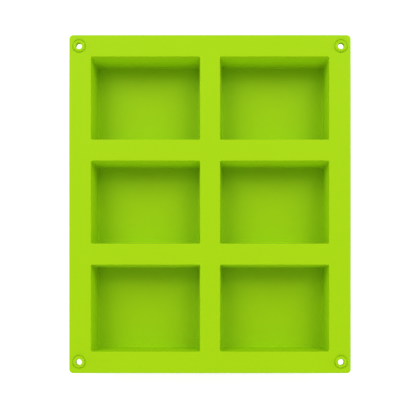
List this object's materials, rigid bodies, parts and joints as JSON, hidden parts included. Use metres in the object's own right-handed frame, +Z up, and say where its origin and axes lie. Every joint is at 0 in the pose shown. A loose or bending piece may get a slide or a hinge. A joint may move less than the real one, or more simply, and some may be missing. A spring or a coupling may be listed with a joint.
{
  "type": "silicone soap mould",
  "caption": "Flexible lime-green tray mould with rows of plain rectangular cavities under a flat deck, for soap bars, with beaded hanging holes at the corners.",
  "frame": {"origin": "middle of the deck's outline, on the plane that the cups' undersides stand on", "axes": "+Z up, out of the cups' mouths; +Y towards the back row; +X across the two columns to the right. The front row, at -Y, has the slightly longer cups."},
  "size_m": [0.214, 0.257, 0.0282],
  "materials": {
    "silicone": "satin lime-green silicone, as it leaves a compression mould, with a fine even grain"
  },
  "bodies": {
    "root": {"rim_back": "silicone", "rim_front": "silicone", "rim_left": "silicone", "rim_right": "silicone", "centre_rib": "silicone", "cross_rib_back_left": "silicone", "cross_rib_back_right": "silicone", "cross_rib_front_left": "silicone", "cross_rib_front_right": "silicone", "eyelet_back_left": "silicone", "eyelet_back_right": "silicone", "eyelet_front_left": "silicone", "eyelet_front_right": "silicone", "cup_back_left": "silicone", "cup_back_right": "silicone", "cup_middle_left": "silicone", "cup_middle_right": "silicone", "cup_front_left": "silicone", "cup_front_right": "silicone"}
  },
  "joints": []
}
